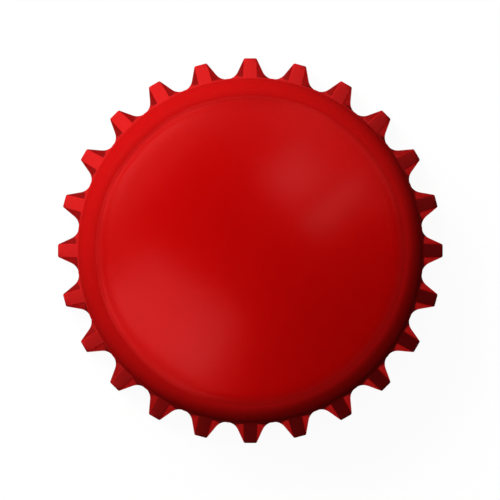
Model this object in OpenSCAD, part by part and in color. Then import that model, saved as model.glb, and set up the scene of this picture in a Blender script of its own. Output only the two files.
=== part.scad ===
// Crown cap: a fluted cap pressed from one disc of tinplate, with a moulded sealing liner.
// The cap stands on its rim, panel up. Z is its axis and the rim rests on z = 0.

/* [Overall] */
// Diameter across the tips of the flutes
overall_d = 32.1; // [31.5:0.1:32.6]
// Height from the rim to the middle of the panel
overall_h = 6; // [5.8:0.05:6.3]
// Thickness of the tinplate
sheet = 0.24; // [0.2:0.01:0.26]

/* [Panel and neck] */
// Slope of the domed panel where it meets the shoulder, in degrees
panel_slope = 2.7; // [1:0.1:4]
// Diameter at the neck, where the shoulder has turned straight down
neck_d = 28.56; // [28.3:0.02:28.56]
// Outside radius of the hollow bend between the neck and the skirt
neck_bend_r = 0.3; // [0.2:0.05:0.3]

/* [Flutes] */
// Number of flutes round the skirt
flutes = 24; // [20:1:25]
// Diameter of the skirt where the flutes start
root_d = 28.74; // [28.74:0.02:28.9]
// Angle between a flute's crest and the cap's axis, in degrees
flare = 28; // [26:0.5:30]
// Angle between a valley and the cap's axis, in degrees
draft = 0.5; // [0.4:0.1:2]
// Width of the flat along each crest, at the rim
crest_flat = 0.93; // [0.8:0.01:1]
// Width of that flat at the root
crest_flat_top = 1.02; // [0.9:0.01:1.05]
// Outside radius of the two edges of a crest
crest_edge_r = 0.1; // [0.08:0.01:0.16]
// Inside radius of the two edges of a crest
crest_inner_r = 0.03; // [0.02:0.01:0.06]
// Slope of a crest's two flanks, in degrees from its flat
flank_slope = 65; // [62:1:67]
// Radius of the hollow at the foot of a flank, near its top
hollow_r_top = 0.15; // [0.12:0.01:0.25]
// Width of the floor that is left between two hollows at the rim
floor_w = 0.05; // [0.04:0.01:0.3]
// Outside radius of the bend where the neck's cone turns down into a valley
valley_bend_r = 0.35; // [0.3:0.05:0.6]

/* [Liner] */
// Thickness of the web across the middle of the liner
web = 0.3; // [0.2:0.05:0.4]
// Thickness of the sealing ring under the panel's edge
seal = 0.85; // [0.7:0.05:1]
// Inner diameter of the flat land on the sealing ring
land_in_d = 19.6; // [18.6:0.1:20.6]
// Outer diameter of the flat land on the sealing ring
land_out_d = 24.8; // [24.2:0.1:25.2]
// Radius of the land's two edges
land_edge_r = 0.35; // [0.2:0.05:0.4]

/* [Hidden] */
$fn = 180;

// Steps of the round stretches, and the stations along the skirt from its root to its rim
dome_steps = 4;
shoulder_steps = 10;
neck_steps = 3;
crest_edge_steps = 2;
hollow_steps = 3;
land_edge_steps = 4;
stations = [0.035, 0.1, 0.4, 0.72, 1];
half_count = crest_edge_steps + hollow_steps + 3;

// The share that a short flute takes of the steepest flank it has room for, and the power of
// the distance down the skirt with which the hollow's radius grows
flank_share = 0.85;
hollow_growth = 3;

// The step along the skirt from which the sheet's slope is worked out
slope_step = 0.001;

// Every meridian of the sheet is as long as any other from the root to the rim, so a crest,
// which flares outwards, ends higher than the valley beside it.
half_pitch = 180 / flutes;
root_r = root_d / 2;
skirt_length = (overall_d / 2 - root_r) / sin(flare);
valley_bend_length = valley_bend_r * (flare - draft) * PI / 180;

// At the rim the hollows of two flutes meet but for the floor between them.
hollow_turn = flank_slope - half_pitch + floor_w / valley_r(skirt_length) * 90 / PI;
hollow_r_rim = (valley_r(skirt_length) * cos(hollow_turn) - crest_edge_r
    - edge_centre(skirt_length) * [sin(flank_slope), cos(flank_slope)]) / (1 - cos(hollow_turn));

// The cap stands on the lowest points of its cut edge.
root_h = -min([for (p = inside(skirt_length)) p[2]]);

// The neck: a hollow bend, and a short cone that the crests carry on down.
neck_r = neck_d / 2;
neck_bend_end_r = neck_r + neck_bend_r * (1 - cos(flare));
cone_length = (root_r - neck_bend_end_r) / sin(flare);
neck_h = root_h + cone_length * cos(flare) + neck_bend_r * sin(flare);

// The shoulder takes up the height that the domed panel leaves above the neck.
slope_rise = tan(panel_slope / 2);
shoulder_r = (overall_h - neck_h - neck_r * slope_rise)
    / (cos(panel_slope) - (1 - sin(panel_slope)) * slope_rise);
shoulder_centre = [neck_r - shoulder_r, neck_h];
dome_r = shoulder_r + shoulder_centre[0] / sin(panel_slope);
dome_centre = [0, overall_h - dome_r];

// The turned top and the fluted skirt share their wall over a short lap on the neck's cone:
// where the top ends, where the skirt's thinned edge ends inside it, and how much it is thinned.
top_end = -0.03;
lap_end = -0.09;
lap_inset = 0.03;

// The liner ends on the shoulder, after this many of the shoulder's steps.
liner_edge_step = 4;
liner_edge_angle = panel_slope + (90 - panel_slope) * liner_edge_step / shoulder_steps;

// The land lies under the panel's edge. Its own edges turn up by this angle, and the web runs
// out to just inside them.
land_h = neck_h + (shoulder_r - sheet) * cos(panel_slope) - seal;
land_edge_turn = 70;
web_edge_angle = asin((land_in_d / 2 - 2 * land_edge_r) / (dome_r - sheet - web));

assert(shoulder_r > sheet, "the shoulder is tighter than the sheet");
assert(cone_length > -lap_end, "the neck's cone is shorter than the lap");
assert(hollow_r_rim > hollow_r_top, "the flutes leave no room for their hollows");

// ---- Profile of the turned top, as [radius, height] ---------------------------------------

function reverse(points) = [for (i = [len(points) - 1:-1:0]) points[i]];

// Points along an arc, with angles counted from straight up towards the outside
function arc(centre, r, from, to, steps, skip = 0) = [
    for (i = [skip:steps])
        let (a = from + (to - from) * i / steps)
            centre + r * [sin(a), cos(a)]
];

// The panel, and the shoulder down to an angle, at a depth under the sheet's outside
function panel_and_shoulder(depth, end_angle, steps) = concat(
    [[0, overall_h - depth]],
    arc(dome_centre, dome_r - depth, 0, panel_slope, dome_steps, skip = 1),
    arc(shoulder_centre, shoulder_r - depth, panel_slope, end_angle, steps, skip = 1)
);

function neck_bend(depth) =
    arc([neck_r + neck_bend_r, neck_h], neck_bend_r + depth, -90, -90 - flare, neck_steps, skip = 1);

// A point of the neck's cone at a distance s below the root, negative above it
function cone_point(s, depth) =
    [root_r, root_h] + s * [sin(flare), -cos(flare)] - depth * [cos(flare), sin(flare)];

function top_face(depth) = concat(
    panel_and_shoulder(depth, 90, shoulder_steps),
    neck_bend(depth),
    [cone_point(top_end, depth)]
);

// ---- Outline of a flute, at a distance s along the sheet from the root ---------------------

// Radius of a crest and of a valley, and how far each lies below the root
function crest_r(s) = root_r + s * sin(flare);
function crest_drop(s) = s * cos(flare);
function valley_heading(s) = max(draft, flare - s / valley_bend_r * 180 / PI);
function valley_run(s) = max(0, s - valley_bend_length);
function valley_r(s) =
    root_r + valley_bend_r * (cos(valley_heading(s)) - cos(flare)) + valley_run(s) * sin(draft);
function valley_drop(s) =
    valley_bend_r * (sin(flare) - sin(valley_heading(s))) + valley_run(s) * cos(draft);

// The hollow at the foot of a flank opens out towards the rim.
function hollow_r(s) =
    hollow_r_top + (hollow_r_rim - hollow_r_top) * pow(s / skirt_length, hollow_growth);

// Centre of a crest's rounded edge, as [across the flute, outwards]
function edge_centre(s) = [
    (crest_flat_top + (crest_flat - crest_flat_top) * s / skirt_length) / 2,
    crest_r(s) - crest_edge_r
];

// The slope at which the rounded edge runs straight into the hollow, and the flank's own slope
function steepest_flank(s) =
    let (
        edge = edge_centre(s),
        rounds = crest_edge_r + hollow_r(s),
        reach = valley_r(s) + hollow_r(s),
        closeness = (edge * edge + rounds * rounds - reach * reach) / (2 * norm(edge) * rounds)
    )
    180 + atan2(edge[0], edge[1]) - acos(min(1, closeness));
function flank(s) = min(flank_slope, flank_share * steepest_flank(s));

// Centre of the hollow, which touches the flank and the valley's floor
function hollow_centre(s) =
    let (
        facing = [sin(flank(s)), cos(flank(s))],
        along = [cos(flank(s)), -sin(flank(s))],
        off = edge_centre(s) * facing + crest_edge_r + hollow_r(s),
        reach = valley_r(s) + hollow_r(s)
    )
    off * facing - sqrt(reach * reach - off * off) * along;

// Directions that the outside faces, point by point from a crest to the middle of a valley
function headings(s) =
    let (slope = flank(s), hollow = hollow_centre(s), floor_edge = atan2(hollow[0], hollow[1]))
    concat(
        [for (i = [0:crest_edge_steps]) slope * i / crest_edge_steps],
        [for (i = [0:hollow_steps]) slope + (floor_edge - slope) * i / hollow_steps],
        [half_pitch]
    );

// The outline, with the crest's edge rounded to a radius between the same flat and flank
function outline(s, edge_r) =
    let (
        turns = headings(s),
        edge = edge_centre(s) - (edge_r - crest_edge_r) * [tan(flank(s) / 2), 1],
        hollow = hollow_centre(s)
    ) [
        for (k = [0:half_count - 1])
            let (facing = [sin(turns[k]), cos(turns[k])])
                k <= crest_edge_steps ? edge + edge_r * facing
                : k < half_count - 1 ? hollow - hollow_r(s) * facing
                : valley_r(s) * facing
    ];

// ---- The sheet's two faces, with heights counted from the root -----------------------------

// How much of a crest's lift above the valley a point has, for each millimetre further out
function lift_rate(s) = (valley_drop(s) - crest_drop(s)) / (crest_r(s) - valley_r(s));

function outside(s, edge_r = crest_edge_r) = [
    for (p = outline(s, edge_r))
        [p[0], p[1], lift_rate(s) * (norm(p) - valley_r(s)) - valley_drop(s)]
];

// The inside lies one sheet thickness behind the outside, square to it. It follows an outside
// with rounder edges, because a crest's edges are all but sharp inside.
function inside(s) =
    let (
        edge_r = sheet + crest_inner_r,
        here = outside(s, edge_r),
        above = outside(s - slope_step, edge_r),
        below = outside(s + slope_step, edge_r),
        turns = headings(s)
    ) [
        for (k = [0:half_count - 1])
            let (
                out = [here[k][0], here[k][1]],
                level = [cos(turns[k]), -sin(turns[k])],
                across = [level[0], level[1], lift_rate(s) * (out * level) / norm(out)],
                normal = cross(across, below[k] - above[k])
            )
                here[k] - sheet * normal / norm(normal)
    ];

// A ring on the neck's cone, with its points at the angles of the first fluted station
function cone_ring(s, depth) = [
    for (p = outside(stations[0] * skirt_length))
        let (a = atan2(p[0], p[1]), q = cone_point(s, depth))
            [q[0] * sin(a), q[0] * cos(a), q[1] - root_h]
];

// Half a flute's points, mirrored and repeated round the cap
function around(half) = [
    for (i = [0:flutes - 1])
        for (k = [2 - half_count:half_count])
            let (
                p = k > 0 ? half[k - 1] : half[-k],
                x = k > 0 ? p[0] : -p[0],
                a = i * 360 / flutes
            )
                [x * cos(a) + p[1] * sin(a), p[1] * cos(a) - x * sin(a), p[2] + root_h]
];

// ---- Pieces --------------------------------------------------------------------------------

// The rings run down the outside, across the cut edge and back up the inside.
module skirt() {
    outer = concat(
        [cone_ring(lap_end, lap_inset), cone_ring(0, 0)],
        [for (t = stations) outside(t * skirt_length)]
    );
    inner = concat(
        [cone_ring(lap_end, sheet - lap_inset), cone_ring(0, sheet)],
        [for (t = stations) inside(t * skirt_length)]
    );
    rings = concat(outer, reverse(inner));
    ring_size = flutes * (2 * half_count - 1);
    faces = [
        for (j = [0:len(rings) - 1])
            for (i = [0:ring_size - 1])
                let (
                    here = j * ring_size,
                    next = (j + 1) % len(rings) * ring_size,
                    k = (i + 1) % ring_size
                )
                    each [[here + i, next + k, here + k], [here + i, next + i, next + k]]
    ];
    polyhedron([for (ring = rings) each around(ring)], faces, convexity = 8);
}

module shell() {
    color([0.68, 0.04, 0.04]) {
        rotate_extrude()
            polygon(concat(top_face(0), reverse(top_face(sheet))));
        skirt();
    }
}

function land_edge(d, from, to) =
    arc([d / 2, land_h + land_edge_r], land_edge_r, from, to, land_edge_steps);

// The liner fills the inside of the panel: shoulder, sealing land and web, back to the middle.
module liner() {
    color([0.86, 0.86, 0.83])
        rotate_extrude()
            polygon(concat(
                panel_and_shoulder(sheet, liner_edge_angle, liner_edge_step),
                land_edge(land_out_d, 180 - land_edge_turn, 180),
                land_edge(land_in_d, 180, 180 + land_edge_turn),
                reverse(arc(dome_centre, dome_r - sheet - web, 0, web_edge_angle, dome_steps))
            ));
}

shell();
liner();
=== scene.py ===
"""Crown cap: a domed cap of red lacquered tinplate with a fluted skirt, and its moulded liner.

Forms are worked out in millimetres and degrees, and each finished mesh is scaled to metres.
The cap stands on its rim at z = 0, its axis is Z, and one flute's crest lies on +Y.
"""

from __future__ import annotations

import logging
import math
from dataclasses import dataclass
from enum import IntEnum
from functools import cached_property
from typing import Any, Mapping, Sequence

import bmesh
import bpy
from mathutils import Matrix, Vector


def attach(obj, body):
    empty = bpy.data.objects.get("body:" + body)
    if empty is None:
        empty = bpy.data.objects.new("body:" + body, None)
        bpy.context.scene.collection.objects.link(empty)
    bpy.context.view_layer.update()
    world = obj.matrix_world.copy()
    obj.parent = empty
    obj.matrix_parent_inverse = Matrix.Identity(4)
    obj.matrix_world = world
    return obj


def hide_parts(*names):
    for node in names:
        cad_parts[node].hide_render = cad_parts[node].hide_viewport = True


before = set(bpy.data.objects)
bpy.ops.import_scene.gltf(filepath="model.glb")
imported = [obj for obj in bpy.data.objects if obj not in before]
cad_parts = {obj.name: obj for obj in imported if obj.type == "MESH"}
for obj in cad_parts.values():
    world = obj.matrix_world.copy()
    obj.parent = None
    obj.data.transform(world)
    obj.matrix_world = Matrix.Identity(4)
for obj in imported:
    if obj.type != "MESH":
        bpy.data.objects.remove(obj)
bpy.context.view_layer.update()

LOG = logging.getLogger("crown_cap")
MILLIMETRE = 0.001
STRETCH = "stretch"
NOISE_MEAN = 0.5
MERGE_MM = 1e-5
ON_AXIS_MM = 1e-6
ROUNDING = {"affect": "EDGES", "profile": 0.5}
LAMP_DISTANCE = 1.0
Colour = tuple[float, float, float]
Scales = tuple[float, float, float]
Point = tuple[float, float]


# ---- Shader building ----


class Signal:
    """A node's output socket that takes part in Python expressions."""

    def __init__(self, shader: Shader, socket: bpy.types.NodeSocket | None) -> None:
        """Keeps the shader and the socket, which a node without outputs doesn't have."""
        self.shader = shader
        self.socket = socket

    def _maths(self, operation: str, *values: Any) -> Signal:
        """Adds one Math node over the given values."""
        sockets = dict(enumerate(values))
        return self.shader.node("ShaderNodeMath", {"operation": operation}, sockets)

    def __add__(self, other: Any) -> Signal:
        """self + other"""
        return self._maths("ADD", self, other)

    def __radd__(self, other: Any) -> Signal:
        """other + self"""
        return self._maths("ADD", other, self)

    def __sub__(self, other: Any) -> Signal:
        """self - other"""
        return self._maths("SUBTRACT", self, other)

    def __rsub__(self, other: Any) -> Signal:
        """other - self"""
        return self._maths("SUBTRACT", other, self)

    def __mul__(self, other: Any) -> Signal:
        """self * other"""
        return self._maths("MULTIPLY", self, other)

    def __rmul__(self, other: Any) -> Signal:
        """other * self"""
        return self._maths("MULTIPLY", other, self)

    def sibling(self, name: str) -> Signal:
        """Another output of the same node."""
        return Signal(self.shader, self.socket.node.outputs[name])


def between(share: Signal, first: float, second: float) -> Signal:
    """A number that goes from the first to the second as the share goes from 0 to 1."""
    return first + share * (second - first)


class Shader:
    """Builds the node tree of one material or of the world."""

    def __init__(self, tree: bpy.types.NodeTree) -> None:
        """Empties the tree, so that everything in it is made here."""
        self.tree = tree
        tree.nodes.clear()

    def node(
        self,
        kind: str,
        settings: Mapping[str, Any] | None = None,
        sockets: Mapping[int | str, Any] | None = None,
        output: int | str = 0,
    ) -> Signal:
        """Adds one node.

        Args:
            kind: the node's type.
            settings: properties, which are set before the sockets.
            sockets: values or links of input sockets, by index or name; a colour is opaque.
            output: the output socket to hand back, by index or name.

        Returns:
            The chosen output as a Signal.
        """
        made = self.tree.nodes.new(kind)
        for name, value in (settings or {}).items():
            setattr(made, name, value)
        for key, value in (sockets or {}).items():
            socket = made.inputs[key]
            if isinstance(value, Signal):
                self.tree.links.new(value.socket, socket)
            else:
                socket.default_value = (*value, 1.0) if socket.type == "RGBA" else value
        return Signal(self, made.outputs[output] if made.outputs else None)

    def vector_maths(self, operation: str, *values: Any, output: int | str = 0) -> Signal:
        """Adds one Vector Math node over the given vectors."""
        sockets = dict(enumerate(values))
        return self.node("ShaderNodeVectorMath", {"operation": operation}, sockets, output)

    def mix(self, share: Any, first: Colour | Signal, second: Colour | Signal) -> Signal:
        """Mixes two colours, from the first at 0 to the second at 1."""
        settings = {"data_type": "RGBA", "clamp_factor": True}
        return self.node("ShaderNodeMix", settings, {0: share, 6: first, 7: second}, 2)

    def ramp(self, value: Signal, low: float, high: float) -> Signal:
        """Rises smoothly from 0 where the value is low to 1 where it is high."""
        settings = {"interpolation_type": "SMOOTHSTEP", "clamp": True}
        return self.node("ShaderNodeMapRange", settings, {0: value, 1: low, 2: high})

    def noise(self, place: Signal, scale: float, detail: float = 2.0, rough: float = 0.5) -> Signal:
        """Smooth noise about NOISE_MEAN, at a scale in waves for each millimetre."""
        sockets = {"Vector": place, "Scale": scale, "Detail": detail, "Roughness": rough}
        return self.node("ShaderNodeTexNoise", None, sockets, "Fac")

    def place_mm(self) -> Signal:
        """Object coordinates in millimetres."""
        scaled = {0: self.node("ShaderNodeTexCoord", output="Object"), "Scale": 1.0 / MILLIMETRE}
        return self.node("ShaderNodeVectorMath", {"operation": "SCALE"}, scaled)

    def radius(self, place: Signal) -> Signal:
        """Distance of a place from the cap's axis."""
        flat = self.vector_maths("MULTIPLY", place, (1.0, 1.0, 0.0))
        return self.vector_maths("LENGTH", flat, output="Value")

    def bump(self, height: Signal, depth_mm: float, **under: Signal) -> Signal:
        """Turns a height between 0 and 1 into a normal, over an earlier Normal if one is given."""
        sockets = {"Height": height, "Strength": 1.0, "Distance": depth_mm * MILLIMETRE, **under}
        return self.node("ShaderNodeBump", None, sockets)

    def surface(self, closure: Signal, kind: str = "ShaderNodeOutputMaterial") -> None:
        """Links the closing shader to an output of the given kind."""
        self.node(kind, None, {"Surface": closure})


class Finish:
    """A finish that makes one material."""

    name = "finish"

    def material(self) -> bpy.types.Material:
        """Makes the material and fills its node tree.

        Returns:
            The new material.
        """
        made = bpy.data.materials.new(self.name)
        made.use_nodes = True
        shader = Shader(made.node_tree)
        shader.surface(self.closure(shader))
        return made

    def closure(self, shader: Shader) -> Signal:
        """The closing shader, one Principled node unless a finish says otherwise."""
        return shader.node("ShaderNodeBsdfPrincipled", None, self.sockets(shader))

    def sockets(self, shader: Shader) -> dict[str, Any]:
        """Values and links of the Principled node's sockets."""
        raise NotImplementedError


@dataclass(frozen=True)
class RedLacquer(Finish):
    """Translucent red lacquer over bright tinplate, thinner and duller where the sheet is drawn.

    The panel's lacquer lets some of the tin's gleam through. Over the shoulder it dulls and
    loses that gleam, down the flutes it is paler, and on their flanks, where the sheet is
    stretched most, the tin gleams through again.

    A value's first word says where it holds; drawn is all but the panel. A gleam is a share of
    metal, and waves are counted for each millimetre.
    """

    name = "red_lacquer"
    panel_red: Colour = (0.475, 0.0012, 0.0012)
    shoulder_red: Colour = (0.525, 0.005, 0.005)
    flute_red: Colour = (0.62, 0.013, 0.013)
    flank_red: Colour = (0.19, 0.016, 0.016)
    grazing_red: Colour = (1.0, 0.06, 0.06)
    panel_gleam: float = 0.34
    drawn_gleam: float = 0.008
    flank_gleam: float = 0.97
    panel_roughness: float = 0.19
    drawn_roughness: float = 0.36
    panel_coat: float = 0.072
    drawn_coat: float = 0.003
    coat_roughness: float = 0.08
    shoulder_from_mm: float = 12.05
    shoulder_to_mm: float = 12.65
    dull_from_mm: float = 12.65
    dull_to_mm: float = 13.15
    flutes_from_mm: float = 14.2
    flutes_to_mm: float = 14.45
    film_waves: float = 0.35
    film_tint: Colour = (0.9, 0.72, 0.72)
    film_from: float = 0.4
    film_gain: float = 0.8
    dulling_waves: float = 2.2
    dulling_depth: float = 0.05
    peel_waves: float = 1.6
    peel_mm: float = 0.0008
    grain_waves: float = 9.0
    grain_mm: float = 0.0004

    def sockets(self, shader: Shader) -> dict[str, Any]:
        """Lacquer with roller-coat texture, thickness variation and drawn flutes.

        Args:
            shader: the material's shader.

        Returns:
            The Principled node's sockets.
        """
        place = shader.place_mm()
        radius = shader.radius(place)
        bent = shader.ramp(radius, self.shoulder_from_mm, self.shoulder_to_mm)
        dulled = shader.ramp(radius, self.dull_from_mm, self.dull_to_mm)
        fluted = shader.ramp(radius, self.flutes_from_mm, self.flutes_to_mm)
        stretch = shader.node("ShaderNodeAttribute", {"attribute_name": STRETCH}, output="Fac")
        colour = shader.mix(bent, self.panel_red, self.shoulder_red)
        colour = shader.mix(fluted, colour, self.flute_red)
        colour = shader.mix(stretch, colour, self.flank_red)
        thick = shader.vector_maths("MULTIPLY", colour, self.film_tint)
        film = shader.noise(place, self.film_waves, detail=3.0) - self.film_from
        dulling = shader.noise(place, self.dulling_waves, detail=4.0, rough=0.6) - NOISE_MEAN
        gleam = between(dulled, self.panel_gleam, self.drawn_gleam)
        rough = between(dulled, self.panel_roughness, self.drawn_roughness)
        peel = shader.bump(shader.noise(place, self.peel_waves), self.peel_mm)
        grain = shader.noise(place, self.grain_waves)
        return {
            "Base Color": shader.mix(film * self.film_gain, colour, thick),
            "Metallic": gleam + stretch * self.flank_gleam,
            "Roughness": rough + dulling * self.dulling_depth,
            "Specular IOR Level": 0.0,
            "Specular Tint": self.grazing_red,
            "Coat Weight": between(dulled, self.panel_coat, self.drawn_coat),
            "Coat Roughness": self.coat_roughness,
            "Normal": shader.bump(grain, self.grain_mm, Normal=peel),
        }


@dataclass(frozen=True)
class ClearLacquer(Finish):
    """Clear lacquer over bare tinplate, with the sheet's straight rolling lines."""

    name = "clear_lacquer"
    tin: Colour = (0.60, 0.585, 0.55)
    dim_tin: Colour = (0.5, 0.47, 0.41)
    gleam: float = 0.92
    roughness: float = 0.34
    coat: float = 0.35
    coat_roughness: float = 0.18
    line_waves: Scales = (0.25, 9.0, 1.0)
    line_roughness: float = 0.16
    line_mm: float = 0.0012
    blotch_waves: float = 0.7
    blotch_share: float = 0.35

    def sockets(self, shader: Shader) -> dict[str, Any]:
        """Tin with rolling lines along X and soft blotches in its sheen.

        Args:
            shader: the material's shader.

        Returns:
            The Principled node's sockets.
        """
        place = shader.place_mm()
        along = shader.vector_maths("MULTIPLY", place, self.line_waves)
        lines = shader.noise(along, 1.0, detail=3.0, rough=0.6)
        blotch = shader.noise(place, self.blotch_waves, detail=3.0)
        return {
            "Base Color": shader.mix(blotch * self.blotch_share, self.tin, self.dim_tin),
            "Metallic": self.gleam,
            "Roughness": self.roughness + (lines - NOISE_MEAN) * self.line_roughness,
            "Coat Weight": self.coat,
            "Coat Roughness": self.coat_roughness,
            "Normal": shader.bump(lines, self.line_mm),
        }


@dataclass(frozen=True)
class ShearedEdge(Finish):
    """Bare steel where the blank was cut, bright and finely torn across the sheet."""

    name = "sheared_edge"
    steel: Colour = (0.42, 0.40, 0.38)
    torn_steel: Colour = (0.25, 0.22, 0.20)
    gleam: float = 0.95
    roughness: float = 0.38
    tear_waves: Scales = (9.0, 9.0, 1.5)
    tear_roughness: float = 0.2
    tear_mm: float = 0.002

    def sockets(self, shader: Shader) -> dict[str, Any]:
        """Steel with fine tear marks down its height.

        Args:
            shader: the material's shader.

        Returns:
            The Principled node's sockets.
        """
        across = shader.vector_maths("MULTIPLY", shader.place_mm(), self.tear_waves)
        tears = shader.noise(across, 1.0, detail=3.0)
        return {
            "Base Color": shader.mix(tears, self.steel, self.torn_steel),
            "Metallic": self.gleam,
            "Roughness": self.roughness + tears * self.tear_roughness,
            "Normal": shader.bump(tears, self.tear_mm),
        }


@dataclass(frozen=True)
class LinerCompound(Finish):
    """Off-white sealing compound with the punch's fine rings and a soft satin sheen."""

    name = "liner_compound"
    body: Colour = (0.74, 0.735, 0.70)
    shade: Colour = (0.66, 0.65, 0.60)
    roughness: float = 0.42
    cloud_waves: float = 0.5
    cloud_from: float = 0.3
    cloud_gain: float = 0.8
    cloud_roughness: float = 0.12
    ring_waves: float = 7.0
    ring_mm: float = 0.003
    pore_waves: float = 6.0
    pore_mm: float = 0.0015

    def sockets(self, shader: Shader) -> dict[str, Any]:
        """Compound with turned rings from the punch and cloudy flow marks.

        Args:
            shader: the material's shader.

        Returns:
            The Principled node's sockets.
        """
        place = shader.place_mm()
        cloud = shader.noise(place, self.cloud_waves, detail=4.0, rough=0.6)
        shaded = (cloud - self.cloud_from) * self.cloud_gain
        turned = {"W": shader.radius(place), "Scale": self.ring_waves, "Detail": 3.0}
        rings = shader.node("ShaderNodeTexNoise", {"noise_dimensions": "1D"}, turned, "Fac")
        pores = shader.noise(place, self.pore_waves, detail=3.0, rough=0.6)
        pitted = shader.bump(pores, self.pore_mm)
        return {
            "Base Color": shader.mix(shaded, self.body, self.shade),
            "Roughness": self.roughness + (cloud - NOISE_MEAN) * self.cloud_roughness,
            "Normal": shader.bump(rings, self.ring_mm, Normal=pitted),
        }


@dataclass(frozen=True)
class PaleFloor(Finish):
    """A translucent white table top that takes the cap's shadow.

    Its own grey is dark enough not to light the flutes from underneath, and its white is added
    where it is seen. The lamp under it shines through, and it is clear when it is seen from
    below, so that the cap's open side can be looked into.
    """

    name = "pale_floor"
    body: Colour = (0.08, 0.08, 0.08)
    glow: float = 0.94

    def closure(self, shader: Shader) -> Signal:
        """A diffuse table top, with the rest of its white added for rays that see it.

        Args:
            shader: the material's shader.

        Returns:
            The closing shader.
        """
        ray = shader.node("ShaderNodeLightPath", output="Is Camera Ray")
        seen = ray + ray.sibling("Is Glossy Ray") + ray.sibling("Is Transmission Ray")
        diffuse = shader.node("ShaderNodeBsdfDiffuse", None, {"Color": self.body})
        glow = shader.node("ShaderNodeEmission", None, {"Strength": seen * self.glow})
        lit = shader.node("ShaderNodeAddShader", None, {0: diffuse, 1: glow})
        below = shader.node("ShaderNodeNewGeometry", output="Backfacing")
        through = below + ray.sibling("Is Shadow Ray")
        clear = shader.node("ShaderNodeBsdfTransparent")
        return shader.node("ShaderNodeMixShader", None, {0: through, 1: lit, 2: clear})


# ---- Mesh helpers ----


@dataclass(frozen=True)
class Stop:
    """A point on a turned profile, and how the sheet lies there.

    Attributes:
        radius: distance from the axis.
        height: height above the rim's plane.
        along: distance down the skirt from its root, or None above the root.
        depth: depth under the sheet's outside.
        zone: index of the material of the band that ends here.
    """

    radius: float
    height: float
    along: float | None = None
    depth: float = 0.0
    zone: int = 0


def heading(turn: float) -> Vector:
    """Direction at an angle from straight outwards, as across and outwards."""
    return Vector((math.sin(turn), math.cos(turn)))


def arc(centre: Point, radius: float, start: float, end: float, steps: int) -> list[Point]:
    """Points along an arc, without its first one.

    Args:
        centre: the arc's centre, as radius and height.
        radius: the arc's own radius.
        start: first angle, counted from straight up towards the outside.
        end: last angle.
        steps: number of stretches.

    Returns:
        The points, as radius and height.
    """
    turns = (math.radians(start + (end - start) * i / steps) for i in range(1, steps + 1))
    return [(centre[0] + radius * math.sin(t), centre[1] + radius * math.cos(t)) for t in turns]


def spin_profile(stops: Sequence[Stop], columns: int) -> bmesh.types.BMesh:
    """Spins a profile that starts and ends on the axis into a closed body.

    Args:
        stops: the profile, from the axis round to the axis again.
        columns: number of steps of the full turn.

    Returns:
        The body, whose vertices carry their stop's index in the layer "stop".
    """
    mesh = bmesh.new()
    layer = mesh.verts.layers.int.new("stop")
    line = [mesh.verts.new((0.0, stop.radius, stop.height)) for stop in stops]
    for index, vertex in enumerate(line):
        vertex[layer] = index
    for pair in zip(line, line[1:]):
        mesh.edges.new(pair)
    bmesh.ops.spin(
        mesh,
        geom=mesh.verts[:] + mesh.edges[:],
        cent=(0.0, 0.0, 0.0),
        axis=(0.0, 0.0, -1.0),
        angle=math.tau,
        steps=columns,
        use_merge=True,
    )
    bmesh.ops.remove_doubles(mesh, verts=mesh.verts[:], dist=MERGE_MM)
    bmesh.ops.recalc_face_normals(mesh, faces=mesh.faces[:])
    return mesh


def finish_mesh(
    mesh: bmesh.types.BMesh, name: str, finishes: Sequence[Finish], crease: float
) -> bpy.types.Object:
    """Scales a mesh to metres and makes it an object of the scene.

    Args:
        mesh: the finished form in millimetres; it is freed.
        name: the object's name.
        finishes: the finishes, in the order of the faces' material indexes.
        crease: angle in degrees past which an edge is shaded sharp.

    Returns:
        The object, at the origin, unturned and unscaled.
    """
    bmesh.ops.scale(mesh, vec=(MILLIMETRE,) * 3, verts=mesh.verts[:])
    for face in mesh.faces:
        face.smooth = True
    for edge in mesh.edges:
        edge.smooth = edge.calc_face_angle(0.0) < math.radians(crease)
    data = bpy.data.meshes.new(name)
    mesh.to_mesh(data)
    mesh.free()
    for finish in finishes:
        data.materials.append(finish.material())
    made = bpy.data.objects.new(name, data)
    bpy.context.scene.collection.objects.link(made)
    return made


# ---- The pressed sheet ----


class Zone(IntEnum):
    """The sheet's surfaces, by material index."""

    OUTSIDE = 0
    INSIDE = 1
    CUT_EDGE = 2


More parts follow.
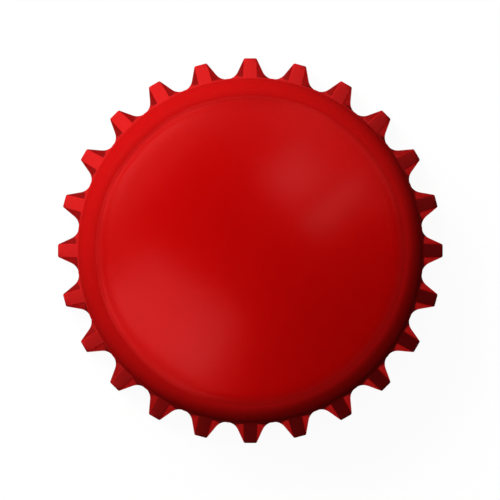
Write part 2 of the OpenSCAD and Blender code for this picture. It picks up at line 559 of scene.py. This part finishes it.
@dataclass(frozen=True)
class SheetForm:
    """Sizes of the pressed sheet, and its forms at a distance s down the skirt from its root.

    Attributes:
        overall_d: diameter across the flutes' tips.
        overall_h: height from the rim to the middle of the panel.
        sheet: thickness of the tinplate.
        panel_slope: slope of the dome where it meets the shoulder.
        neck_r: radius where the shoulder has turned straight down.
        neck_bend_r: outside radius of the hollow bend under the neck.
        flutes: number of flutes.
        root_r: radius where the flutes start.
        flare: angle between a crest and the axis.
        draft: angle between a valley and the axis.
        crest_flat: width of the flat along a crest, at the rim.
        crest_flat_top: width of that flat at the root.
        crest_edge_r: outside radius of a crest's edges.
        crest_inner_r: inside radius of a crest's edges.
        flank_slope: slope of a crest's flanks from its flat.
        hollow_r_top: radius of the hollow at a flank's foot, near its top.
        hollow_growth: power by which the hollow opens out towards the rim.
        floor_w: width of the valley's floor at the rim.
        valley_bend_r: radius of the bend that turns a valley down.
        edge_steps: stretches of a crest's edge, before those of the flank and the hollow.
        ease_from: radius at which the dome starts to ease into the shoulder.
        ease_to: radius at which the shoulder's arc takes over.
        ease_steps: stretches between those two radii.
        ease_rounds: rounds in which the dome's slope is worked out.
        height_steps: steps in which a height of the panel is summed.
        flank_share: share of the steepest slope that has room, for a short flute's flank.
        slope_step: distance down the sheet over which its direction is measured.
    """

    overall_d: float = 32.1
    overall_h: float = 6.0
    sheet: float = 0.24
    panel_slope: float = 2.7
    neck_r: float = 14.28
    neck_bend_r: float = 0.3
    flutes: int = 24
    root_r: float = 14.37
    flare: float = 28.0
    draft: float = 0.5
    crest_flat: float = 0.93
    crest_flat_top: float = 1.02
    crest_edge_r: float = 0.1
    crest_inner_r: float = 0.03
    flank_slope: float = 65.0
    hollow_r_top: float = 0.15
    hollow_growth: float = 3.0
    floor_w: float = 0.05
    valley_bend_r: float = 0.35
    edge_steps: int = 4
    flank_steps: int = 2
    hollow_steps: int = 6
    ease_from: float = 11.2
    ease_to: float = 12.9
    ease_steps: int = 12
    ease_rounds: int = 6
    height_steps: int = 64
    flank_share: float = 0.85
    slope_step: float = 0.001

    @cached_property
    def skirt_length(self) -> float:
        """Length of every meridian from the root to the rim."""
        return (self.overall_d / 2 - self.root_r) / math.sin(math.radians(self.flare))

    @cached_property
    def hollow_r_rim(self) -> float:
        """Radius of the hollow at the rim, where two hollows meet but for the floor."""
        reach = self.valley(self.skirt_length)[0]
        turn = math.radians(self.flank_slope - 180.0 / self.flutes) + self.floor_w / reach / 2
        slope = math.radians(self.flank_slope)
        across = self.edge_centre(self.skirt_length).dot(heading(slope))
        return (reach * math.cos(turn) - self.crest_edge_r - across) / (1 - math.cos(turn))

    @cached_property
    def root_h(self) -> float:
        """Height of the root, at which the cut edge's lowest points stand on z = 0."""
        return -min(point.z for point in self.inside(self.skirt_length))

    @cached_property
    def neck_h(self) -> float:
        """Height at which the shoulder ends and the neck's hollow bend starts."""
        flare = math.radians(self.flare)
        bend_end_r = self.neck_r + self.neck_bend_r * (1 - math.cos(flare))
        cone = (self.root_r - bend_end_r) / math.tan(flare)
        return self.root_h + cone + self.neck_bend_r * math.sin(flare)

    @cached_property
    def shoulder_r(self) -> float:
        """Outside radius of the shoulder, which takes the height that the dome leaves."""
        slope = math.radians(self.panel_slope)
        rise = math.tan(slope / 2)
        left = self.overall_h - self.neck_h - self.neck_r * rise
        return left / (math.cos(slope) - (1 - math.sin(slope)) * rise)

    @property
    def shoulder(self) -> Point:
        """Centre of the shoulder's arc, as radius and height."""
        return (self.neck_r - self.shoulder_r, self.neck_h)

    @property
    def dome_r(self) -> float:
        """Radius of the panel's dome."""
        return self.shoulder_r + self.shoulder[0] / math.sin(math.radians(self.panel_slope))

    @cached_property
    def half_columns(self) -> int:
        """Number of stretches from a crest's middle to a valley's."""
        return self.edge_steps + self.flank_steps + self.hollow_steps + 2

    @property
    def columns(self) -> int:
        """Number of stretches round the whole cap."""
        return 2 * self.half_columns * self.flutes

    @cached_property
    def ease_end(self) -> float:
        """Slope at which the shoulder's arc takes over, in radians."""
        return math.asin((self.ease_to - self.shoulder[0]) / self.shoulder_r)

    def eased_slope(self, radius: float, rate: float) -> float:
        """Slope of the panel, which grows evenly and then eases into the shoulder's.

        Args:
            radius: distance from the axis.
            rate: growth of the dome's slope, in radians for each millimetre.

        Returns:
            The slope in radians.
        """
        width = self.ease_to - self.ease_from
        gain = self.ease_end - rate * self.ease_to
        steepening = 1.0 / (self.shoulder_r * math.cos(self.ease_end)) - rate
        share = max(0.0, radius - self.ease_from) / width
        return rate * radius + gain * share ** (steepening * width / gain)

    def eased_height(self, radius: float, rate: float) -> float:
        """Height of the panel's outside, summed from the shoulder's arc inwards.

        Args:
            radius: distance from the axis.
            rate: growth of the dome's slope, in radians for each millimetre.

        Returns:
            The height in millimetres.
        """
        step = (self.ease_to - radius) / self.height_steps
        middles = (radius + (i + 0.5) * step for i in range(self.height_steps))
        rise = sum(math.tan(self.eased_slope(middle, rate)) for middle in middles) * step
        return self.shoulder[1] + self.shoulder_r * math.cos(self.ease_end) + rise

    @cached_property
    def dome_rate(self) -> float:
        """Growth of the dome's slope that brings its middle to the cap's full height."""
        rate = math.radians(self.panel_slope) / self.ease_to
        for _ in range(self.ease_rounds):
            missing = self.overall_h - self.eased_height(0.0, rate)
            rate += 2.0 * missing / self.ease_to**2
        return rate

    def panel_and_shoulder(
        self, depth: float, share: float, dome_steps: int, shoulder_steps: int
    ) -> list[Point]:
        """The dome and part of the shoulder at a depth under the outside, from the axis.

        Args:
            depth: depth under the sheet's outside.
            share: share of the shoulder's turn that is taken.
            dome_steps: number of stretches over the dome.
            shoulder_steps: number of stretches over that share of the shoulder.

        Returns:
            The line's points, as radius and height.
        """
        rate = self.dome_rate
        width = self.ease_to - self.ease_from
        stations = [self.ease_from * i / dome_steps for i in range(dome_steps)]
        stations += [self.ease_from + width * i / self.ease_steps for i in range(self.ease_steps)]
        points = []
        for radius in stations + [self.ease_to]:
            slope = self.eased_slope(radius, rate)
            height = self.eased_height(radius, rate)
            points.append((radius - depth * math.sin(slope), height - depth * math.cos(slope)))
        start = math.degrees(self.ease_end)
        end = self.panel_slope + (90.0 - self.panel_slope) * share
        points += arc(self.shoulder, self.shoulder_r - depth, start, end, shoulder_steps)
        return points

    def crest(self, s: float) -> Point:
        """Radius of a crest, and how far it lies below the root."""
        flare = math.radians(self.flare)
        return (self.root_r + s * math.sin(flare), s * math.cos(flare))

    def valley(self, s: float) -> Point:
        """A valley's line, which bends from the flare to the draft and runs on straight.

        Args:
            s: distance down the sheet from the root.

        Returns:
            Its radius, and how far it lies below the root.
        """
        flare, draft = math.radians(self.flare), math.radians(self.draft)
        turn = max(draft, flare - s / self.valley_bend_r)
        run = max(0.0, s - self.valley_bend_r * math.radians(self.flare - self.draft))
        out = self.valley_bend_r * (math.cos(turn) - math.cos(flare))
        down = self.valley_bend_r * (math.sin(flare) - math.sin(turn))
        return (self.root_r + out + run * math.sin(draft), down + run * math.cos(draft))

    def edge_centre(self, s: float) -> Vector:
        """Centre of a crest's rounded edge, as across the flute and outwards."""
        flat = self.crest_flat_top + (self.crest_flat - self.crest_flat_top) * s / self.skirt_length
        return Vector((flat / 2, self.crest(s)[0] - self.crest_edge_r))

    def hollow_r(self, s: float) -> float:
        """Radius of the hollow, which opens out towards the rim."""
        grown = (max(s, 0.0) / self.skirt_length) ** self.hollow_growth
        return self.hollow_r_top + (self.hollow_r_rim - self.hollow_r_top) * grown

    def flank(self, s: float) -> float:
        """Slope of a flank, held back where a short flute has no room for the full slope.

        Args:
            s: distance down the sheet from the root.

        Returns:
            The slope from the crest's flat, in radians.
        """
        edge = self.edge_centre(s)
        rounds = self.crest_edge_r + self.hollow_r(s)
        reach = self.valley(s)[0] + self.hollow_r(s)
        cosine = (edge.length_squared + rounds**2 - reach**2) / (2 * edge.length * rounds)
        steepest = math.pi + math.atan2(edge.x, edge.y) - math.acos(min(1.0, cosine))
        return min(math.radians(self.flank_slope), self.flank_share * steepest)

    def hollow_centre(self, s: float) -> Vector:
        """Centre of the hollow, which touches the flank and the valley's floor.

        Args:
            s: distance down the sheet from the root.

        Returns:
            The centre, as across the flute and outwards.
        """
        slope = self.flank(s)
        facing = heading(slope)
        down = Vector((math.cos(slope), -math.sin(slope)))
        off = self.edge_centre(s).dot(facing) + self.crest_edge_r + self.hollow_r(s)
        reach = self.valley(s)[0] + self.hollow_r(s)
        return facing * off - down * math.sqrt(reach**2 - off**2)

    def outline(self, s: float, edge_r: float) -> list[tuple[Vector, float]]:
        """Half a flute's outline.

        Args:
            s: distance down the sheet from the root.
            edge_r: radius that the crest's edge is drawn with, between the same flat and flank.

        Returns:
            Points from a crest's middle to a valley's, as across and outwards, each with
            the direction that the outside faces there, in radians.
        """
        slope = self.flank(s)
        edge, hollow = self.edge_centre(s), self.hollow_centre(s)
        wider = edge_r - self.crest_edge_r
        edge -= Vector((math.tan(slope / 2), 1.0)) * wider
        floor_edge = math.atan2(hollow.x, hollow.y)
        points = [(Vector((0.0, self.crest(s)[0])), 0.0)]
        for i in range(self.edge_steps + 1):
            turn = slope * i / self.edge_steps
            points.append((edge + heading(turn) * edge_r, turn))
        flank_start = points[-1][0]
        flank_end = hollow - heading(slope) * self.hollow_r(s)
        for i in range(1, self.flank_steps):
            points.append((flank_start.lerp(flank_end, i / self.flank_steps), slope))
        for i in range(self.hollow_steps + 1):
            turn = slope + (floor_edge - slope) * i / self.hollow_steps
            points.append((hollow - heading(turn) * self.hollow_r(s), turn))
        middle = math.pi / self.flutes
        points.append((heading(middle) * self.valley(s)[0], middle))
        return points

    def lift_rate(self, s: float) -> float:
        """A crest's lift above the valley for each millimetre that it stands further out."""
        (crest_r, crest_drop), (valley_r, valley_drop) = self.crest(s), self.valley(s)
        return (valley_drop - crest_drop) / (crest_r - valley_r)

    def outside(self, s: float, edge_r: float) -> list[Vector]:
        """The outline's points, raised to their heights as counted from the root."""
        rate, (low, drop), line = self.lift_rate(s), self.valley(s), self.outline(s, edge_r)
        return [Vector((p.x, p.y, rate * (p.length - low) - drop)) for p, _ in line]

    def inside(self, s: float) -> list[Vector]:
        """Half a flute's inside, one sheet thickness behind the outside and square to it.

        Args:
            s: distance down the sheet from the root.

        Returns:
            Points that lie behind those of the outside.
        """
        edge_r = self.sheet + self.crest_inner_r
        above = self.outside(s - self.slope_step, edge_r)
        below = self.outside(s + self.slope_step, edge_r)
        rate = self.lift_rate(s)
        points = []
        for here, up, down, (flat, turn) in zip(
            self.outside(s, edge_r), above, below, self.outline(s, edge_r)
        ):
            level = Vector((math.cos(turn), -math.sin(turn)))
            across = Vector((level.x, level.y, rate * flat.dot(level) / flat.length))
            normal = across.cross(down - up).normalized()
            points.append(here - normal * self.sheet)
        return points


@dataclass
class CapShell:
    """The cap's pressed sheet: domed panel, shoulder, neck and fluted skirt.

    A plain cup is spun from its profile, and its skirt is then pressed into flutes.

    Attributes:
        dome_steps: stretches over the dome, before those of the shoulder and neck.
        stations: shares of the skirt's length at which its rows of points lie.
        edge_bevel: reach of the cut edge's rounding.
        stretch_from: share of a flank's slope past which the sheet counts as stretched.
    """

    form: SheetForm
    dome_steps: int = 10
    shoulder_steps: int = 18
    neck_steps: int = 6
    stations: Sequence[float] = (
        0.0, 0.01, 0.02, 0.03, 0.042, 0.055, 0.075, 0.11, 0.18, 0.28, 0.42, 0.56, 0.7, 0.85, 1.0,
    )
    edge_bevel: float = 0.035
    bevel_steps: int = 2
    crease: float = 50.0
    stretch_from: float = 0.55

    def top_line(self, depth: float) -> list[Point]:
        """The panel, shoulder and neck at a depth under the outside, from the axis to the root.

        Args:
            depth: depth under the sheet's outside.

        Returns:
            The line's points, as radius and height.
        """
        form = self.form
        bend = (form.neck_r + form.neck_bend_r, form.neck_h)
        points = form.panel_and_shoulder(depth, 1.0, self.dome_steps, self.shoulder_steps)
        points += arc(bend, form.neck_bend_r + depth, -90.0, -90.0 - form.flare, self.neck_steps)
        return points

    def skirt_stop(self, share: float, depth: float, zone: Zone) -> Stop:
        """A stop on the plain cup's skirt, which flares as the crests do.

        Args:
            share: share of the skirt's length.
            depth: depth under the sheet's outside.
            zone: the surface that ends there.

        Returns:
            The stop.
        """
        form, flare = self.form, math.radians(self.form.flare)
        s = share * form.skirt_length
        radius = form.root_r + s * math.sin(flare) - depth * math.cos(flare)
        height = form.root_h - s * math.cos(flare) - depth * math.sin(flare)
        return Stop(radius, height, s, depth, zone)

    def profile(self) -> list[Stop]:
        """The plain cup's profile: down the outside, across the cut edge and up the inside.

        Returns:
            The profile's stops, from the axis round to the axis again.
        """
        sheet = self.form.sheet
        outside = [Stop(r, h) for r, h in self.top_line(0.0)]
        outside += [self.skirt_stop(t, 0.0, Zone.OUTSIDE) for t in self.stations]
        inside = [self.skirt_stop(t, sheet, Zone.INSIDE) for t in reversed(self.stations)]
        inside[0] = self.skirt_stop(1.0, sheet, Zone.CUT_EDGE)
        top = reversed(self.top_line(sheet))
        inside += [Stop(r, h, None, sheet, Zone.INSIDE) for r, h in top]
        return outside + inside

    def half_row(self, stop: Stop) -> list[Vector]:
        """Half a flute's points at a stop, which lie on a circle above the skirt.

        Args:
            stop: a stop of the profile.

        Returns:
            Points from a crest's middle to a valley's; a flute's heights are from the root.
        """
        form, edge_r = self.form, self.form.crest_edge_r
        if stop.along:
            return form.inside(stop.along) if stop.depth else form.outside(stop.along, edge_r)
        first = form.outside(self.stations[1] * form.skirt_length, edge_r)
        starts = (math.atan2(p.x, p.y) for p in first)
        return [Vector((stop.radius * math.sin(a), stop.radius * math.cos(a), 0.0)) for a in starts]

    def press(self, mesh: bmesh.types.BMesh, stops: Sequence[Stop]) -> None:
        """Presses the flutes into the skirt of the spun cup.

        Args:
            mesh: the spun cup.
            stops: the profile that it was spun from.
        """
        form = self.form
        layer = mesh.verts.layers.int["stop"]
        stretch = mesh.verts.layers.float.new(STRETCH)
        halves = [self.half_row(stop) for stop in stops]
        outlines = [form.outline(t.along, form.crest_edge_r) if t.along else () for t in stops]
        flute_columns = 2 * form.half_columns
        for vertex in mesh.verts:
            row = vertex[layer]
            stop = stops[row]
            if stop.radius < ON_AXIS_MM:
                continue
            column = round(math.atan2(vertex.co.x, vertex.co.y) / math.tau * form.columns)
            flute = round(column / flute_columns)
            offset = column - flute * flute_columns
            point = halves[row][abs(offset)].copy()
            point.x *= math.copysign(1.0, offset)
            point.rotate(Matrix.Rotation(-flute * math.tau / form.flutes, 3, "Z"))
            height = stop.height
            if stop.along:
                height = point.z + form.root_h
                vertex[stretch] = self.stretch(outlines[row][abs(offset)][1])
            vertex.co = (point.x, point.y, height)

    def stretch(self, turn: float) -> float:
        """How far the sheet is stretched, from 0 to 1, where it faces that far round."""
        share = turn / math.radians(self.form.flank_slope)
        return min(1.0, max(0.0, (share - self.stretch_from) / (1.0 - self.stretch_from)))

    def build(self) -> bpy.types.Object:
        """Builds the shell as one closed piece that stands for the CAD's.

        Returns:
            The piece.
        """
        stops = self.profile()
        mesh = spin_profile(stops, self.form.columns)
        layer = mesh.verts.layers.int["stop"]
        self.press(mesh, stops)
        for face in mesh.faces:
            face.material_index = stops[max(v[layer] for v in face.verts)].zone
        zones = {edge: {face.material_index for face in edge.link_faces} for edge in mesh.edges}
        rim = [edge for edge, met in zones.items() if Zone.CUT_EDGE in met and len(met) == 2]
        bmesh.ops.bevel(
            mesh,
            geom=rim,
            offset=self.edge_bevel,
            segments=self.bevel_steps,
            material=Zone.CUT_EDGE,
            **ROUNDING,
        )
        finishes = (RedLacquer(), ClearLacquer(), ShearedEdge())
        piece = finish_mesh(mesh, "cap_shell", finishes, self.crease)
        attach(piece, "root")
        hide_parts("shell")
        return piece


# ---- The liner ----


@dataclass
class CapLiner:
    """The moulded sealing liner: a thin web, and a land that meets the bottle.

    Attributes:
        web: thickness across the middle.
        seal: thickness of the sealing ring.
        land_in_d: inner diameter of the flat land.
        land_out_d: outer diameter of the flat land.
        land_edge_r: radius of the land's two edges.
        land_edge_turn: how far those edges turn up.
        reach: share of the shoulder's turn that the liner covers.
        web_steps: stretches over the web, before those of the other parts.
        outer_bevel: reach of the outer edge's rounding.
    """

    form: SheetForm
    web: float = 0.3
    seal: float = 0.85
    land_in_d: float = 19.6
    land_out_d: float = 24.8
    land_edge_r: float = 0.35
    land_edge_turn: float = 70.0
    reach: float = 0.4
    web_steps: int = 12
    shoulder_steps: int = 8
    land_edge_steps: int = 8
    columns: int = 240
    outer_bevel: float = 0.06
    bevel_steps: int = 3
    crease: float = 40.0

    def profile(self) -> list[Stop]:
        """The liner's profile: out along the sheet, across the land and back along the web.

        Returns:
            The profile's stops, from the axis round to the axis again.
        """
        form, edge_r, tip = self.form, self.land_edge_r, self.land_edge_turn
        slope, turn = math.radians(form.panel_slope), math.radians(tip)
        land_h = form.neck_h + (form.shoulder_r - form.sheet) * math.cos(slope) - self.seal
        edge_h = land_h + edge_r
        outer, inner = self.land_out_d / 2, self.land_in_d / 2
        web_r = form.dome_r - form.sheet - self.web
        web_edge = math.degrees(math.asin((inner - 2 * edge_r) / web_r))
        points = form.panel_and_shoulder(
            form.sheet, self.reach, self.web_steps, self.shoulder_steps
        )
        points.append((outer + edge_r * math.sin(turn), edge_h - edge_r * math.cos(turn)))
        points += arc((outer, edge_h), edge_r, 180.0 - tip, 180.0, self.land_edge_steps)
        points.append((inner, land_h))
        points += arc((inner, edge_h), edge_r, 180.0, 180.0 + tip, self.land_edge_steps)
        web = [(0.0, form.overall_h - form.sheet - self.web)]
        dome = (0.0, form.overall_h - form.dome_r)
        web += arc(dome, web_r, 0.0, web_edge, self.web_steps)
        return [Stop(r, h) for r, h in points + web[::-1]]

    def build(self) -> bpy.types.Object:
        """Builds the liner as one closed piece that stands for the CAD's.

        Returns:
            The piece.
        """
        mesh = spin_profile(self.profile(), self.columns)
        layer = mesh.verts.layers.int["stop"]
        outer = self.web_steps + self.form.ease_steps + self.shoulder_steps
        edge = [e for e in mesh.edges if {v[layer] for v in e.verts} == {outer}]
        bmesh.ops.bevel(
            mesh,
            geom=edge,
            offset=self.outer_bevel,
            segments=self.bevel_steps,
            material=-1,
            **ROUNDING,
        )
        piece = finish_mesh(mesh, "cap_liner", (LinerCompound(),), self.crease)
        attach(piece, "root")
        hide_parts("liner")
        return piece


# ---- The studio ----


@dataclass(frozen=True)
class Softbox:
    """A soft rectangular lamp that faces the cap.

    Attributes:
        name: the lamp's name.
        azimuth: direction that it stands in, in degrees clockwise from +Y.
        tilt: angle from straight above the cap.
        width: angle that it fills from side to side, seen from the cap.
        height: angle that it fills up and down.
        radiance: brightness of its face, on a scale where white under an even sky of 1 is 1.
        roll: turn about its own axis, clockwise as the cap sees it.
    """

    name: str
    azimuth: float
    tilt: float
    width: float
    height: float
    radiance: float
    roll: float = 0.0

    @staticmethod
    def size(angle: float) -> float:
        """Size of a side that fills an angle."""
        return 2.0 * LAMP_DISTANCE * math.tan(math.radians(angle) / 2)

    def build(self) -> None:
        """Makes the lamp and turns it to the cap."""
        light = bpy.data.lights.new(self.name, "AREA")
        light.shape = "RECTANGLE"
        light.size, light.size_y = self.size(self.width), self.size(self.height)
        light.energy = self.radiance * math.pi * light.size * light.size_y
        lamp = bpy.data.objects.new(self.name, light)
        stand = Matrix.Rotation(math.radians(-self.azimuth), 3, "Z")
        lean = Matrix.Rotation(math.radians(-self.tilt), 3, "X")
        roll = Matrix.Rotation(math.radians(self.roll), 3, "Z")
        turned = stand @ lean @ roll
        lamp.location = turned @ Vector((0.0, 0.0, LAMP_DISTANCE))
        lamp.rotation_euler = turned.to_euler()
        lamp.visible_camera = False
        bpy.context.scene.collection.objects.link(lamp)


@dataclass
class Studio:
    """The pale floor, the soft light and the camera straight above the cap.

    Attributes:
        floor_mm: side of the floor.
        frame_px: side of the square picture.
        across_px: the cap's diameter in it.
        centre_px: the cap's middle in it, from the left and from the top.
        lens_mm: the lens, long enough to show no perspective.
        sensor_mm: width of the sensor.
        ambient: brightness of the surroundings as light.
        lamps: the softboxes, in rings from the low key to small ones overhead.
    """

    floor_mm: float = 3000.0
    frame_px: float = 500.0
    across_px: float = 385.0
    centre_px: Point = (250.31, 250.64)
    lens_mm: float = 1000.0
    sensor_mm: float = 36.0
    ambient: float = 0.02
    lamps: Sequence[Softbox] = (
        Softbox("key", 316, 60, 36, 20, 11.6),
        Softbox("key_low", 314, 70, 36, 18, 1.85),
        Softbox("key_top", 352, 70, 38, 18, 2.95),
        Softbox("key_left", 280, 70, 36, 18, 1.6),
        Softbox("wall_left", 270, 38, 38, 11, 0.1),
        Softbox("canopy_lower_left", 228, 25, 26, 9, 1.2),
        Softbox("canopy_left", 270, 25, 28, 9, 1.2),
        Softbox("canopy", 315, 25, 26, 9, 1.45),
        Softbox("canopy_top", 0, 25, 28, 9, 1.2),
        Softbox("canopy_right", 42, 25, 24, 9, 0.6),
        Softbox("ring_lower_left", 226, 14.5, 15, 7.5, 1.75),
        Softbox("ring_left", 270, 14.5, 17, 7.5, 1.15),
        Softbox("ring_upper_left", 314, 14.5, 15, 7.5, 2.3),
        Softbox("ring_top", 0, 14.5, 17, 7.5, 0.8),
        Softbox("ring_upper_right", 42, 14.5, 15, 7.5, 1.05),
        Softbox("band_lower_left", 226, 7.6, 8, 5.6, 1.76),
        Softbox("band_left", 270, 7.6, 9, 5.6, 0.89),
        Softbox("band_upper_left", 314, 7.6, 8, 5.6, 1.77),
        Softbox("band_top", 0, 7.6, 9, 5.6, 1.37),
        Softbox("band_upper_right", 42, 7.6, 8, 5.6, 1.16),
        Softbox("crescent", 312, 7.5, 5.2, 3.4, 3.6),
        Softbox("strip_lower_left", 231.7, 4.17, 4.94, 3.04, 4.76, 13.7),
        Softbox("strip_low", 204.9, 4.69, 2.66, 1.37, 1.89, 4.9),
        Softbox("strip_upper_right", 29.7, 3.68, 2.2, 1.75, 5.86, 74.7),
        Softbox("strip_right", 61.9, 3.88, 2.66, 0.84, 6.76, -76.1),
        Softbox("strip_high", 6.2, 4.2, 3.04, 1.67, 0.35, 6.2),
        Softbox("under", 0, 180, 50, 50, 0.9),
    )

    def build_floor(self) -> None:
        """Lays the floor under the rim."""
        mesh = bmesh.new()
        bmesh.ops.create_grid(mesh, x_segments=1, y_segments=1, size=self.floor_mm / 2)
        floor = finish_mesh(mesh, "floor", (PaleFloor(),), crease=0.0)

    def build_camera(self, across: float) -> None:
        """Hangs the camera straight above the cap, +Y at the picture's top.

        Args:
            across: the cap's diameter in metres, which sets the picture's scale.
        """
        data = bpy.data.cameras.new("camera")
        data.lens, data.sensor_width = self.lens_mm, self.sensor_mm
        pixel = across / self.across_px
        height = pixel * self.frame_px * self.lens_mm / self.sensor_mm
        data.clip_end = 2.0 * height
        camera = bpy.data.objects.new("camera", data)
        (x_px, y_px), middle = self.centre_px, self.frame_px / 2
        camera.location = ((middle - x_px) * pixel, (y_px - middle) * pixel, height)
        bpy.context.scene.collection.objects.link(camera)
        bpy.context.scene.camera = camera

    def build_world(self) -> None:
        """Makes the surroundings: white where they are seen, a soft grey as light."""
        world = bpy.data.worlds.new("surroundings")
        world.use_nodes = True
        bpy.context.scene.world = world
        shader = Shader(world.node_tree)
        seen = shader.node("ShaderNodeLightPath", output="Is Camera Ray")
        strength = self.ambient + seen * (1.0 - self.ambient)
        sockets = {"Color": (1.0, 1.0, 1.0), "Strength": strength}
        background = shader.node("ShaderNodeBackground", None, sockets)
        shader.surface(background, "ShaderNodeOutputWorld")


# ---- The scene ----


def main() -> None:
    logging.basicConfig(level=logging.INFO, format="%(name)s: %(message)s")
    bpy.context.scene.view_settings.view_transform = "Standard"
    form = SheetForm()
    for part in (CapShell(form), CapLiner(form)):
        piece = part.build()
        LOG.info("%s: %d faces", piece.name, len(piece.data.polygons))
    studio = Studio()
    studio.build_floor()
    studio.build_camera(form.overall_d * MILLIMETRE)
    studio.build_world()
    for softbox in studio.lamps:
        softbox.build()
    LOG.info("studio: %d lamps", len(studio.lamps))


if __name__ == "__main__":
    main()
